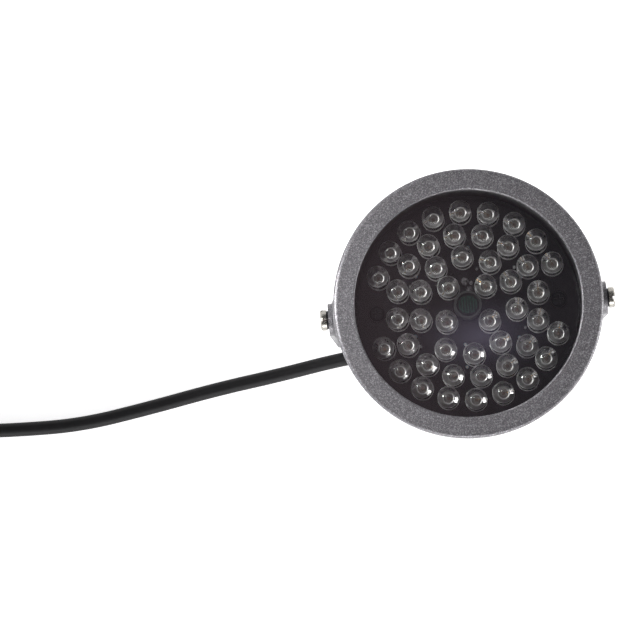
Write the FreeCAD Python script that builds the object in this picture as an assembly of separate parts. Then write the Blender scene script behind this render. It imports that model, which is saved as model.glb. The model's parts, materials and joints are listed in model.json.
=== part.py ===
import FreeCAD, Part
import math
import os

# An infrared illuminator: a round drum head full of LEDs, held in a folded bracket by two screws.
# The origin is the middle of the bracket's underside. The head faces +Z, and tilts about X.
# All sizes are in millimetres.

Vector = FreeCAD.Vector
X_AXIS = Vector(1, 0, 0)
Y_AXIS = Vector(0, 1, 0)
Z_AXIS = Vector(0, 0, 1)

# Bracket, one strip of sheet steel
sheet_thickness = 1.0
pivot_height = 52.0
arm_half_width = 3.8
arm_side_gap = 0.85
bend_inner_radius = 2.0
strap_length = 6.85
strap_fillet_radius = 3.0
base_half_width = 13.0
base_corner_radius = 4.5
wall_hole_radius = 2.1
wall_hole_spacing = 30.0

# Head: the front ring, the window and the drum
ring_wall = 2.6
ring_length = 9.5
ring_edge_radius = 0.9
ring_back_edge_radius = 0.4
lip_overlap = 0.35
lip_thickness = 1.4
lip_edge_radius = 0.35
pivot_to_front = 20.0
glass_thickness = 2.0
gasket_thickness = 1.0
head_length = 48.0
drum_step = 1.0
drum_wall = 3.0
drum_back_inset = 9.0
drum_taper_length = 12.0
drum_edge_radius = 0.8
shoulder_edge_radius = 0.4
nose_wall = 1.7
back_wall = 3.0
oring_section_radius = 0.5
oring_above_shoulder = 1.4
fit_clearance = 0.05
thread_clearance = 0.1
assembly_clearance = 0.2

# Tilt screws, their washers and bosses
boss_radius = 4.5
boss_edge_radius = 0.3
boss_running_gap = 0.1
tilt_screw_radius = 1.25
tilt_screw_reach = 6.0
tilt_head_radius = 2.4
tilt_head_height = 1.4
tilt_head_edge_radius = 0.55
tilt_slot_width = 0.8
tilt_slot_depth = 0.6
tilt_cross_half_length = 1.5
tilt_slot_angles = {1: 8.0, -1: 68.0}
washer_thickness = 0.45
washer_outer_radius = 2.1
washer_split = 0.4

# Board and what it carries
board_thickness = 1.6
board_edge_gap = 0.4
lug_half_width = 5.0
lug_wall = 2.7
lug_below_pivot = 6.4
board_screw_inset = 4.6
board_screw_radius = 1.15
board_screw_length = 7.5
board_head_radius = 1.8
board_head_height = 1.5
board_cross_half_length = 1.1
board_cross_width = 0.5
board_cross_depth = 0.7
led_radius = 2.45
led_height = 8.6
led_to_glass = 0.8
led_row_gap = 0.17
led_side_gap = 1.3
led_to_sleeve = 0.44
led_to_wall = 1.95
led_lead_spacing = 2.54
led_lead_side = 0.5
lead_below_board = 1.5
lead_hole_radius = 0.45

full_circle = 360.0

# Each ring of LEDs from the middle outwards, with its arcs as (middle angle, angle covered)
led_rings = {
    "leds_inner_ring": [(88.0, 89.0), (267.0, 108.0)],
    "leds_second_ring": [(92.0, 201.0), (273.0, 68.4)],
    "leds_third_ring": [(175.0, full_circle)],
    "leds_outer_ring": [(90.0, 136.0), (270.5, 136.0)],
}

# Light sensor
photocell_radius = 2.5
photocell_flat = 2.15
photocell_thickness = 2.0
photocell_below_glass = 1.8
photocell_lead_spacing = 2.7
round_lead_radius = 0.25
sleeve_wall = 0.5
sleeve_gap = 0.1
sleeve_above_cell = 0.5

# Parts that hang under the board
under_board_gap = 1.2
string_resistor_count = 6
string_resistor_start = 25.0
resistor_radius = 1.15
resistor_length = 6.3
bias_resistor_angle = 262.0
diode_angle = 55.0
diode_radius = 1.35
diode_length = 5.2
hairpin_spacing = 2.6
hairpin_drop = 1.8
hairpin_bend_radius = 1.0
transistor_angle = 120.0
transistor_radius = 2.3
transistor_flat = 1.3
transistor_height = 4.6
transistor_lead_pitch = 1.27
transistor_lead_side = 0.45
transistor_below_board = 2.5

# Cord, its entry into the drum and its two cores
cord_radius = 1.75
boot_length = 8.0
boot_rim_radius = 4.8
boot_rim_thickness = 1.2
boot_neck_radius = 3.5
boot_large_radius = 4.0
boot_small_radius = 2.9
boot_edge_radius = 0.4
entry_length_inside = 5.0
tie_thickness = 0.9
tie_width = 2.4
tie_head_width = 3.6
tie_head_thickness = 2.2
core_radius = 0.65
core_offset = 0.75
core_angles = {"wire_positive": 0.0, "wire_negative": 180.0}
core_straight = 2.5
core_rise = 10.0
core_bend_radius = 2.5

# The cord's route from the drum to its coil, as points chosen by hand
lead_route = [
    (0.0, 0.0, 15.7),
    (0.0, 0.0, 11.2),
    (-3.0, -0.6, 6.3),
    (-8.6, -2.2, 3.3),
    (-15.2, -4.3, 2.95),
    (-24.3, -6.1, 2.9),
    (-33.4, -6.8, 1.75),
    (-47.0, -9.3, 1.75),
    (-63.0, -11.7, 1.75),
    (-80.0, -14.8, 1.75),
    (-97.0, -17.5, 1.75),
    (-113.0, -17.7, 1.75),
    (-128.0, -17.1, 1.75),
    (-142.0, -17.25, 1.75),
    (-155.0, -17.25, 1.75),
]

# The put-away coil: two turns on the floor, and on top of them one and a part of another
coil_centre = (-155.0, 4.5)
coil_mean_radius = 20.0
coil_layers = 2
coil_turns_across = 2
coil_last_turn = 0.25

# The short end between the coil and the socket, as points chosen by hand
tail_route = [
    (-176.75, 4.5, 5.25),
    (-177.3, 12.5, 5.2),
    (-175.6, 22.0, 5.1),
    (-170.2, 30.4, 5.05),
    (-161.6, 35.0, 5.0),
    (-151.9, 35.0, 5.0),
]

# Power socket on the cord's end
jack_body_radius = 5.0
jack_body_length = 20.0
jack_relief_length = 10.0
jack_relief_large_radius = 3.4
jack_relief_small_radius = 2.5
jack_edge_radius = 0.7
jack_bore_radius = 3.1
jack_bore_depth = 9.5
jack_sleeve_wall = 0.3
jack_pin_radius = 1.0
jack_pin_recess = 0.5
jack_pin_nose_radius = 0.5

# A straight run shorter than this is left out between two arcs
shortest_run = 1e-4

# The share of a cord's shorter run that the bend at each of its points takes up
bend_share = 0.45

# Places along Z worked out from the sizes above
front_face = pivot_height + pivot_to_front
lip_back = front_face - lip_thickness
glass_back = lip_back - glass_thickness
nose_rim = glass_back - gasket_thickness
shoulder = front_face - ring_length
drum_back = front_face - head_length
cavity_back = drum_back + back_wall
taper_start = drum_back + drum_taper_length
board_top = glass_back - led_to_glass - led_height
board_bottom = board_top - board_thickness
lead_bottom = board_bottom - lead_below_board
photocell_top = glass_back - photocell_below_glass
boot_end = drum_back - boot_length
entry_end = cavity_back + boot_rim_thickness + entry_length_inside

# Radii worked out from the middle outwards: the sensor, the rows of LEDs, the drum, the ring, the arms
sleeve_inner_radius = photocell_radius + sleeve_gap
sleeve_outer_radius = sleeve_inner_radius + sleeve_wall
led_row_pitch = 2 * led_radius + led_row_gap
led_row_radii = [
    sleeve_outer_radius + led_to_sleeve + led_radius + row * led_row_pitch
    for row in range(len(led_rings))
]
inner_component_ring = (led_row_radii[0] + led_row_radii[1]) / 2
outer_component_ring = (led_row_radii[1] + led_row_radii[2]) / 2
cavity_radius = led_row_radii[-1] + led_radius + led_to_wall
board_radius = cavity_radius - board_edge_gap
board_screw_place = board_radius - board_screw_inset
nose_radius = cavity_radius + nose_wall
ring_bore_radius = nose_radius + thread_clearance
ring_radius = ring_bore_radius + ring_wall
window_opening_radius = cavity_radius - lip_overlap
glass_radius = ring_bore_radius - assembly_clearance
drum_radius = ring_radius - drum_step
drum_back_radius = drum_radius - drum_back_inset
arm_inner_face = ring_radius + arm_side_gap
arm_outer_face = arm_inner_face + sheet_thickness
boss_face = arm_inner_face - boss_running_gap
jack_mouth = jack_relief_length + jack_body_length
jack_bore_end = jack_mouth - jack_bore_depth


def rounded_edges(points, radii, closed):
    """Straight runs between the points, joined by tangent arcs; radius 0 keeps a sharp corner."""
    count = len(points)
    run_ends = list(points)
    run_starts = list(points)
    arcs = [None] * count
    for index, radius in enumerate(radii):
        if radius <= 0:
            continue
        corner = points[index]
        to_last = (points[index - 1] - corner).normalize()
        to_next = (points[(index + 1) % count] - corner).normalize()
        half_angle = to_last.getAngle(to_next) / 2
        reach = radius / math.tan(half_angle)
        inward = (to_last + to_next).normalize()
        run_ends[index] = corner + to_last * reach
        run_starts[index] = corner + to_next * reach
        middle = corner + inward * (radius / math.sin(half_angle) - radius)
        arcs[index] = Part.Arc(run_ends[index], middle, run_starts[index]).toShape()
    edges = []
    for index in range(count if closed else count - 1):
        if arcs[index]:
            edges.append(arcs[index])
        start = run_starts[index]
        end = run_ends[(index + 1) % count]
        if start.distanceToPoint(end) > shortest_run:
            edges.append(Part.LineSegment(start, end).toShape())
    return edges


def turned(profile):
    """A solid turned about Z from (radius, height, corner radius) points."""
    points = [Vector(radius, 0, height) for radius, height, _ in profile]
    radii = [corner for _, _, corner in profile]
    face = Part.Face(Part.Wire(rounded_edges(points, radii, True)))
    return face.revolve(Vector(0, 0, 0), Z_AXIS, 360)


def upright(radius, bottom, top, x=0.0, y=0.0):
    return Part.makeCylinder(radius, top - bottom, Vector(x, y, bottom), Z_AXIS)


def block(x_range, y_range, z_range):
    low = Vector(x_range[0], y_range[0], z_range[0])
    return Part.makeBox(
        x_range[1] - x_range[0], y_range[1] - y_range[0], z_range[1] - z_range[0], low
    )


def polar(radius, angle):
    turn = math.radians(angle)
    return radius * math.cos(turn), radius * math.sin(turn)


def placed(shape, x, y, angle):
    """A copy turned about Z and then moved, for parts built at the origin."""
    copy = shape.copy()
    copy.rotate(Vector(0, 0, 0), Z_AXIS, angle)
    copy.translate(Vector(x, y, 0))
    return copy


def swept(points, radii, radius):
    """A round bar along straight runs joined by tangent arcs."""
    path = Part.Wire(rounded_edges(points, radii, False))
    start = Part.Circle(points[0], points[1] - points[0], radius).toShape()
    return path.makePipeShell([Part.Wire(start)], True, False)


def cross_recess(half_length, width, depth, face_height):
    """The cross cut into a screw's head, for a head whose top is at face_height."""
    cuts = []
    for long_side, short_side in ((half_length, width / 2), (width / 2, half_length)):
        cuts.append(
            block(
                (-long_side, long_side),
                (-short_side, short_side),
                (face_height - depth, face_height + depth),
            )
        )
    return cuts[0].fuse(cuts[1])


def led_places(ring):
    """As many places on a ring as each of its arcs has room for, spread evenly over the arc."""
    radius = led_row_radii[list(led_rings).index(ring)]
    closest = math.degrees(2 * math.asin((led_radius + led_side_gap / 2) / radius))
    places = []
    for middle, arc in led_rings[ring]:
        steps = math.floor(arc / closest)
        count = steps if arc == full_circle else steps + 1
        for index in range(count):
            angle = middle + arc / steps * (index - (count - 1) / 2)
            places.append((*polar(radius, angle), angle))
    return places


def string_resistor_places():
    places = []
    for index in range(string_resistor_count):
        angle = string_resistor_start + full_circle / string_resistor_count * index
        places.append((*polar(outer_component_ring, angle), angle))
    return places


def along_tangent(place, distance):
    """The point that lies to one side of a place on a ring, along the ring."""
    x, y, angle = place
    turn = math.radians(angle)
    return x - distance * math.sin(turn), y + distance * math.cos(turn)


bias_resistor_place = (*polar(inner_component_ring, bias_resistor_angle), bias_resistor_angle)
diode_place = (*polar(inner_component_ring, diode_angle), diode_angle)
transistor_place = (*polar(inner_component_ring, transistor_angle), transistor_angle)


def bracket_blank():
    """The flat base, which narrows to a strap at each side."""
    bend_start = arm_inner_face - bend_inner_radius
    base_end = bend_start - strap_length
    quarter = [
        (bend_start, arm_half_width, 0),
        (base_end, arm_half_width, strap_fillet_radius),
        (base_end, base_half_width, base_corner_radius),
    ]
    outline = list(quarter)
    outline += [(-x, y, corner) for x, y, corner in reversed(quarter)]
    outline += [(-x, -y, corner) for x, y, corner in quarter]
    outline += [(x, -y, corner) for x, y, corner in reversed(quarter)]
    points = [Vector(x, y, 0) for x, y, _ in outline]
    radii = [corner for _, _, corner in outline]
    face = Part.Face(Part.Wire(rounded_edges(points, radii, True)))
    return face.extrude(Z_AXIS * sheet_thickness)


def bracket_arm(side):
    """One arm with its bend, its rounded end and its screw hole."""
    bend_start = arm_inner_face - bend_inner_radius
    section = [
        (bend_start, 0.0, 0),
        (arm_outer_face, 0.0, bend_inner_radius + sheet_thickness),
        (arm_outer_face, pivot_height, 0),
        (arm_inner_face, pivot_height, 0),
        (arm_inner_face, sheet_thickness, bend_inner_radius),
        (bend_start, sheet_thickness, 0),
    ]
    points = [Vector(side * x, -arm_half_width, z) for x, z, _ in section]
    radii = [corner for _, _, corner in section]
    face = Part.Face(Part.Wire(rounded_edges(points, radii, True)))
    strap = face.extrude(Y_AXIS * (2 * arm_half_width))
    pivot = Vector(side * arm_inner_face, 0, pivot_height)
    outward = X_AXIS * side
    end = Part.makeCylinder(arm_half_width, sheet_thickness, pivot, outward)
    hole_radius = tilt_screw_radius + thread_clearance
    hole = Part.makeCylinder(hole_radius, sheet_thickness, pivot, outward)
    return strap.fuse(end).removeSplitter().cut(hole)


def bracket():
    shape = bracket_blank().fuse([bracket_arm(1), bracket_arm(-1)]).removeSplitter()
    holes = [
        upright(wall_hole_radius, 0.0, sheet_thickness, side * wall_hole_spacing / 2)
        for side in (-1, 1)
    ]
    return shape.cut(holes)


def front_ring():
    return turned(
        [
            (window_opening_radius, front_face, lip_edge_radius),
            (ring_radius, front_face, ring_edge_radius),
            (ring_radius, shoulder, ring_back_edge_radius),
            (ring_bore_radius, shoulder, 0),
            (ring_bore_radius, lip_back, 0),
            (window_opening_radius, lip_back, 0),
        ]
    )


def window_glass():
    return upright(glass_radius, glass_back, lip_back)


def window_gasket():
    ring = upright(glass_radius, nose_rim, glass_back)
    return ring.cut(upright(cavity_radius, nose_rim, glass_back))


def housing_oring():
    centre_radius = ring_bore_radius - fit_clearance - oring_section_radius
    height = shoulder + oring_above_shoulder
    return Part.makeTorus(centre_radius, oring_section_radius, Vector(0, 0, height), Z_AXIS)


def drum_shell():
    """The turned drum: its nose with the seal's groove, its side, its taper and its back wall."""
    slope = (drum_radius - drum_back_radius) / drum_taper_length
    side_wall = drum_wall * math.sqrt(1 + slope * slope)
    cavity_back_radius = drum_back_radius + slope * back_wall - side_wall
    cavity_taper_start = taper_start + (cavity_radius + side_wall - drum_radius) / slope
    groove_half_width = oring_section_radius + fit_clearance
    groove_radius = ring_bore_radius - 2 * (oring_section_radius + fit_clearance)
    groove_middle = shoulder + oring_above_shoulder
    return turned(
        [
            (cavity_radius, nose_rim, 0),
            (nose_radius, nose_rim, 0),
            (nose_radius, groove_middle + groove_half_width, 0),
            (groove_radius, groove_middle + groove_half_width, 0),
            (groove_radius, groove_middle - groove_half_width, 0),
            (nose_radius, groove_middle - groove_half_width, 0),
            (nose_radius, shoulder, 0),
            (drum_radius, shoulder, shoulder_edge_radius),
            (drum_radius, taper_start, drum_edge_radius),
            (drum_back_radius, drum_back, drum_edge_radius),
            (boot_neck_radius + fit_clearance, drum_back, 0),
            (boot_neck_radius + fit_clearance, cavity_back, 0),
            (cavity_back_radius, cavity_back, drum_edge_radius),
            (cavity_radius, cavity_taper_start, 0),
        ]
    )


def tilt_boss(side):
    """The round pad outside the drum that the bracket's arm turns on."""
    start = cavity_radius + nose_wall / 2
    profile = [
        (0.0, start, 0),
        (boss_radius, start, 0),
        (boss_radius, boss_face, boss_edge_radius),
        (0.0, boss_face, 0),
    ]
    return lay_on_tilt_axis(turned(profile), side)


def lay_on_tilt_axis(shape, side):
    """A part built along +Z from the origin, laid along the tilt axis towards one side."""
    copy = shape.copy()
    copy.rotate(Vector(0, 0, 0), Y_AXIS, 90 * side)
    copy.translate(Vector(0, 0, pivot_height))
    return copy


def board_lug(side):
    """The block inside the drum that takes a board screw from above and a tilt screw from the side."""
    outer_radius = (cavity_radius + drum_radius) / 2
    bottom = pivot_height - lug_below_pivot
    reach = sorted((side * (board_screw_place - lug_wall), side * outer_radius))
    lug = block(reach, (-lug_half_width, lug_half_width), (bottom, board_bottom))
    return lug.common(upright(outer_radius, bottom, board_bottom))


def main_housing():
    shape = drum_shell().fuse([tilt_boss(1), tilt_boss(-1), board_lug(1), board_lug(-1)])
    drills = []
    tilt_hole_start = boss_face - tilt_screw_reach - assembly_clearance
    board_hole_depth = board_screw_length - board_thickness + assembly_clearance
    for side in (-1, 1):
        drills.append(
            Part.makeCylinder(
                tilt_screw_radius + fit_clearance,
                tilt_screw_reach + 2 * assembly_clearance,
                Vector(side * tilt_hole_start, 0, pivot_height),
                X_AXIS * side,
            )
        )
        drills.append(
            upright(
                board_screw_radius + fit_clearance,
                board_bottom - board_hole_depth,
                board_bottom,
                side * board_screw_place,
            )
        )
    return shape.cut(drills).removeSplitter()


def led_board():
    """The board with a hole for every lead that comes through it."""
    holes = []
    for ring in led_rings:
        for place in led_places(ring):
            for side in (-1, 1):
                holes.append(along_tangent(place, side * led_lead_spacing / 2))
    for place in string_resistor_places() + [bias_resistor_place, diode_place]:
        holes.append(place[:2])
        holes.append(along_tangent(place, hairpin_spacing))
    for offset in (-1, 0, 1):
        holes.append(along_tangent(transistor_place, offset * transistor_lead_pitch))
    for side in (-1, 1):
        holes.append((side * photocell_lead_spacing / 2, 0.0))
    drills = [upright(lead_hole_radius, board_bottom, board_top, x, y) for x, y in holes]
    screw_hole_radius = board_screw_radius + assembly_clearance
    for side in (-1, 1):
        drills.append(
            upright(screw_hole_radius, board_bottom, board_top, side * board_screw_place)
        )
    return upright(board_radius, board_bottom, board_top).cut(drills)


def one_led():
    """A clear domed LED without a rim, with its two leads."""
    dome_centre = Vector(0, 0, board_top + led_height - led_radius)
    barrel = upright(led_radius, board_top, dome_centre.z)
    dome = Part.makeSphere(led_radius, dome_centre, Z_AXIS, 0, 90, 360)
    lens = barrel.fuse(dome).removeSplitter()
    half = led_lead_side / 2
    leads = []
    for side in (-1, 1):
        middle = side * led_lead_spacing / 2
        leads.append(
            block((-half, half), (middle - half, middle + half), (lead_bottom, board_top))
        )
    return lens.fuse(leads)


def leds(ring):
    led = one_led()
    return Part.makeCompound([placed(led, *place) for place in led_places(ring)])


def photocell():
    """A round sensor with two flats, and its leads down through the board."""
    bottom = photocell_top - photocell_thickness
    cell = upright(photocell_radius, bottom, photocell_top)
    flats = block(
        (-photocell_radius, photocell_radius),
        (-photocell_flat, photocell_flat),
        (bottom, photocell_top),
    )
    leads = [
        upright(round_lead_radius, lead_bottom, bottom, side * photocell_lead_spacing / 2)
        for side in (-1, 1)
    ]
    return cell.common(flats).fuse(leads)


def photocell_sleeve():
    top = photocell_top + sleeve_above_cell
    outside = upright(sleeve_outer_radius, board_top, top)
    return outside.cut(upright(sleeve_inner_radius, board_top, top))


def board_screws():
    screws = []
    top = board_top + board_head_height
    for side in (-1, 1):
        screw = turned(
            [
                (0.0, top, 0),
                (board_head_radius, top, board_head_height / 2),
                (board_head_radius, board_top, 0),
                (board_screw_radius, board_top, 0),
                (board_screw_radius, board_top - board_screw_length, 0),
                (0.0, board_top - board_screw_length, 0),
            ]
        )
        recess = cross_recess(board_cross_half_length, board_cross_width, board_cross_depth, top)
        screws.append(placed(screw.cut(recess), side * board_screw_place, 0, 0))
    return Part.makeCompound(screws)


def hairpin(body_radius, body_length, place):
    """A part that stands under the board, with one lead bent back up beside it."""
    body_top = board_bottom - under_board_gap
    body_bottom = body_top - body_length
    lead_top = board_top - assembly_clearance
    body = upright(body_radius, body_bottom, body_top)
    short_lead = upright(round_lead_radius, body_top, lead_top)
    low = body_bottom - hairpin_drop
    corners = [
        Vector(0, 0, body_bottom),
        Vector(0, 0, low),
        Vector(0, hairpin_spacing, low),
        Vector(0, hairpin_spacing, lead_top),
    ]
    bends = [0, hairpin_bend_radius, hairpin_bend_radius, 0]
    long_lead = swept(corners, bends, round_lead_radius)
    return placed(body.fuse([short_lead, long_lead]), *place)


def string_resistors():
    return Part.makeCompound(
        [hairpin(resistor_radius, resistor_length, place) for place in string_resistor_places()]
    )


def switch_transistor():
    """A moulded body with one flat side, on three leads."""
    top = board_bottom - transistor_below_board
    bottom = top - transistor_height
    body = upright(transistor_radius, bottom, top).common(
        block(
            (-transistor_radius, transistor_flat),
            (-transistor_radius, transistor_radius),
            (bottom, top),
        )
    )
    half = transistor_lead_side / 2
    leads = []
    for offset in (-1, 0, 1):
        middle = offset * transistor_lead_pitch
        leads.append(
            block(
                (-half, half),
                (middle - half, middle + half),
                (top, board_top - assembly_clearance),
            )
        )
    return placed(body.fuse(leads), *transistor_place)


def core_wire(angle):
    """One of the cord's two cores, from the cord's cut end to the underside of the board."""
    start_x, start_y = polar(core_offset, angle)
    pad_x, pad_y = polar(inner_component_ring, angle)
    points = [
        Vector(start_x, start_y, entry_end),
        Vector(start_x, start_y, entry_end + core_straight),
        Vector(pad_x, pad_y, entry_end + core_straight + core_rise),
        Vector(pad_x, pad_y, board_bottom),
    ]
    bends = [0, core_bend_radius, core_bend_radius, 0]
    return swept(points, bends, core_radius)


def cord_entry():
    return upright(cord_radius, boot_end, entry_end)


def cable_tie():
    """A strap round the cord with its lock block, just inside the strain relief."""
    bottom = cavity_back + boot_rim_thickness + assembly_clearance
    top = bottom + tie_width
    inner_radius = cord_radius + fit_clearance
    outer_radius = inner_radius + tie_thickness
    lock = block(
        (inner_radius, outer_radius + tie_head_thickness),
        (-tie_head_width / 2, tie_head_width / 2),
        (bottom, top),
    )
    strap = upright(outer_radius, bottom, top).fuse(lock)
    return strap.cut(upright(inner_radius, bottom, top))


def strain_relief():
    """A rubber bush that clips into the back wall and tapers along the cord."""
    bore = cord_radius + fit_clearance
    inner_rim = cavity_back + boot_rim_thickness
    outer_rim = drum_back - boot_rim_thickness
    return turned(
        [
            (bore, inner_rim, 0),
            (boot_rim_radius, inner_rim, boot_edge_radius),
            (boot_rim_radius, cavity_back, 0),
            (boot_neck_radius, cavity_back, 0),
            (boot_neck_radius, drum_back, 0),
            (boot_rim_radius, drum_back, 0),
            (boot_rim_radius, outer_rim, boot_edge_radius),
            (boot_large_radius, outer_rim, 0),
            (boot_small_radius, boot_end, boot_edge_radius),
            (bore, boot_end, 0),
        ]
    )


def tilt_screw(side):
    """A pan-head screw through the arm into the drum, with a slot and a short cross cut."""
    seat = arm_outer_face + fit_clearance + washer_thickness
    top = seat + tilt_head_height
    screw = turned(
        [
            (0.0, boss_face - tilt_screw_reach, 0),
            (tilt_screw_radius, boss_face - tilt_screw_reach, 0),
            (tilt_screw_radius, seat, 0),
            (tilt_head_radius, seat, 0),
            (tilt_head_radius, top, tilt_head_edge_radius),
            (0.0, top, 0),
        ]
    )
    slot = block(
        (-tilt_head_radius, tilt_head_radius),
        (-tilt_slot_width / 2, tilt_slot_width / 2),
        (top - tilt_slot_depth, top),
    )
    cross = cross_recess(tilt_cross_half_length, tilt_slot_width, tilt_slot_depth, top)
    screw = screw.cut([slot, cross])
    return lay_on_tilt_axis(placed(screw, 0, 0, tilt_slot_angles[side]), side)


def lock_washer(side):
    """A split ring between the arm and the screw's head."""
    inner_radius = tilt_screw_radius + fit_clearance
    start = arm_outer_face + fit_clearance
    end = start + washer_thickness
    ring = upright(washer_outer_radius, start, end).cut(upright(inner_radius, start, end))
    gap = block((0, washer_outer_radius), (-washer_split / 2, washer_split / 2), (start, end))
    return lay_on_tilt_axis(ring.cut(gap), side)


def cord_bends(points):
    """The bend radius at each point of the route, from its shorter run and the angle it turns by."""
    radii = [0.0]
    for before, corner, after in zip(points, points[1:], points[2:]):
        shorter = min((corner - before).Length, (after - corner).Length)
        turn = (corner - before).getAngle(after - corner)
        radii.append(bend_share * shorter / math.tan(turn / 2))
    radii.append(0.0)
    return radii


def cord_tube(route, name):
    points = [Vector(*point) for point in route]
    radii = cord_bends(points)
    tube = swept(points, radii, cord_radius)
    length = Part.Wire(rounded_edges(points, radii, False)).Length
    share = tube.Volume / (length * math.pi * cord_radius**2)
    shown = ", ".join(f"{radius:.1f}" for radius in radii[1:-1])
    print(f"{name}: {length:.1f} mm long, bend radii {shown}; volume over section by length {share:.4f}")
    return tube


def power_cord_coil():
    """The outer shape of the coil's turns, two across and two high."""
    half_band = cord_radius * coil_turns_across
    inner = coil_mean_radius - half_band
    outer = coil_mean_radius + half_band
    top = 2 * cord_radius * coil_layers
    ring = turned(
        [
            (inner, 0.0, cord_radius),
            (outer, 0.0, cord_radius),
            (outer, top, cord_radius),
            (inner, top, cord_radius),
        ]
    )
    return placed(ring, *coil_centre, 0)


def in_jack(profile):
    """A turned part of the socket, laid along +X from the end of the cord."""
    shape = turned(profile)
    shape.rotate(Vector(0, 0, 0), Y_AXIS, 90)
    shape.translate(Vector(*tail_route[-1]))
    return shape


def dc_jack_body():
    return in_jack(
        [
            (0.0, 0.0, 0),
            (jack_relief_small_radius, 0.0, 0),
            (jack_relief_large_radius, jack_relief_length, 0),
            (jack_body_radius, jack_relief_length, jack_edge_radius),
            (jack_body_radius, jack_mouth, jack_edge_radius),
            (jack_bore_radius, jack_mouth, 0),
            (jack_bore_radius, jack_bore_end, 0),
            (0.0, jack_bore_end, 0),
        ]
    )


def dc_jack_sleeve():
    outer = jack_bore_radius - fit_clearance
    inner = outer - jack_sleeve_wall
    return in_jack(
        [
            (inner, jack_bore_end, 0),
            (outer, jack_bore_end, 0),
            (outer, jack_mouth, 0),
            (inner, jack_mouth, 0),
        ]
    )


def dc_jack_pin():
    tip = jack_mouth - jack_pin_recess
    return in_jack(
        [
            (0.0, jack_bore_end, 0),
            (jack_pin_radius, jack_bore_end, 0),
            (jack_pin_radius, tip, jack_pin_nose_radius),
            (0.0, tip, 0),
        ]
    )


def put_away_length():
    """The cord in the coil: an outer and an inner turn, an inner one on top, and part of an outer."""
    inner_turn = coil_mean_radius - cord_radius
    outer_turn = coil_mean_radius + cord_radius
    full_turns = outer_turn + inner_turn + inner_turn
    return 2 * math.pi * (full_turns + coil_last_turn * outer_turn)


def nodes():
    made = {
        "bracket": bracket(),
        "front_ring": front_ring(),
        "window_glass": window_glass(),
        "window_gasket": window_gasket(),
        "housing_oring": housing_oring(),
        "main_housing": main_housing(),
        "led_board": led_board(),
        "photocell": photocell(),
        "photocell_sleeve": photocell_sleeve(),
        "board_screws": board_screws(),
        "string_resistors": string_resistors(),
        "bias_resistor": hairpin(resistor_radius, resistor_length, bias_resistor_place),
        "polarity_diode": hairpin(diode_radius, diode_length, diode_place),
        "switch_transistor": switch_transistor(),
        "cord_entry": cord_entry(),
        "cable_tie": cable_tie(),
        "strain_relief": strain_relief(),
        "tilt_screws": Part.makeCompound([tilt_screw(1), tilt_screw(-1)]),
        "lock_washers": Part.makeCompound([lock_washer(1), lock_washer(-1)]),
        "power_cord": cord_tube(lead_route, "power_cord"),
        "power_cord_coil": power_cord_coil(),
        "power_cord_tail": cord_tube(tail_route, "power_cord_tail"),
        "dc_jack_body": dc_jack_body(),
        "dc_jack_sleeve": dc_jack_sleeve(),
        "dc_jack_pin": dc_jack_pin(),
    }
    for ring in led_rings:
        made[ring] = leds(ring)
    for name, angle in core_angles.items():
        made[name] = core_wire(angle)
    return made


def main():
    os.makedirs("parts", exist_ok=True)
    for name, shape in nodes().items():
        if not shape.isValid():
            raise ValueError(f"{name} is not a valid shape")
        shape.exportStep(f"parts/{name}.step")
        print(f"{name}: {len(shape.Solids)} solids, {shape.Volume:.1f} cubic mm")
    print(f"coil: {put_away_length():.1f} mm of cord")


main()
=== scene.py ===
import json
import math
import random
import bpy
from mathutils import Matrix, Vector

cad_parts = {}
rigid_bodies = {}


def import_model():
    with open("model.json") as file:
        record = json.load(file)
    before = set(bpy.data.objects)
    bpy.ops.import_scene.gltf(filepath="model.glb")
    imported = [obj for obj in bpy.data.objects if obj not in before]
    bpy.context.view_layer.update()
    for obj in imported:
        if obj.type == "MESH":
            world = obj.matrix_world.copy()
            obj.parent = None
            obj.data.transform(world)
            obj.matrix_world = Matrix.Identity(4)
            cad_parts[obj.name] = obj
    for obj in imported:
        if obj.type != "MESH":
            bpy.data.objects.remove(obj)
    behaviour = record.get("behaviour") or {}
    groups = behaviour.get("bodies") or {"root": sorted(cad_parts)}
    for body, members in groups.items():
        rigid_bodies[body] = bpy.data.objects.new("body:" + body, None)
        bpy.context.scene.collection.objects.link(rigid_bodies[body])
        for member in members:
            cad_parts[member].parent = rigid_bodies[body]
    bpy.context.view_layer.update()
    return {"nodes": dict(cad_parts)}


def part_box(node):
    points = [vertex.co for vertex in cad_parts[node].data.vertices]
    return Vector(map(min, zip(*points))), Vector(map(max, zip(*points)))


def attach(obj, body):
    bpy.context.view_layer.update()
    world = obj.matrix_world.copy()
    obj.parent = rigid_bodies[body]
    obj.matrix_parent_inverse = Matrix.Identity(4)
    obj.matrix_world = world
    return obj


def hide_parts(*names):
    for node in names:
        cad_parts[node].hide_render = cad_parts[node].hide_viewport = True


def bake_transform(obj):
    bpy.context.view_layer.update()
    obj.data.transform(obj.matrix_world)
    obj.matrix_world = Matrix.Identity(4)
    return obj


bl_info = {
    "name": "Infrared Illuminator",
    "version": (1, 0, 0),
    "blender": (4, 5, 0),
    "location": "View3D > Sidebar > Illuminator",
    "description": "Dresses the infrared illuminator, its LEDs and its power cord",
    "category": "Object",
}

from collections import namedtuple
from functools import partial

import bpy
from bpy.props import FloatProperty, FloatVectorProperty, IntProperty, PointerProperty
from mathutils import Matrix, Vector

for leftover in list(bpy.data.objects):
    bpy.data.objects.remove(leftover)
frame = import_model()

# The head faces +Z and tilts about X. The bracket's underside is at z = 0. Lengths are in metres
# where no comment gives them in millimetres.
MM = 0.001
BOARD_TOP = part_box("led_board")[1].z
BOARD_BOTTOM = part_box("led_board")[0].z


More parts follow.
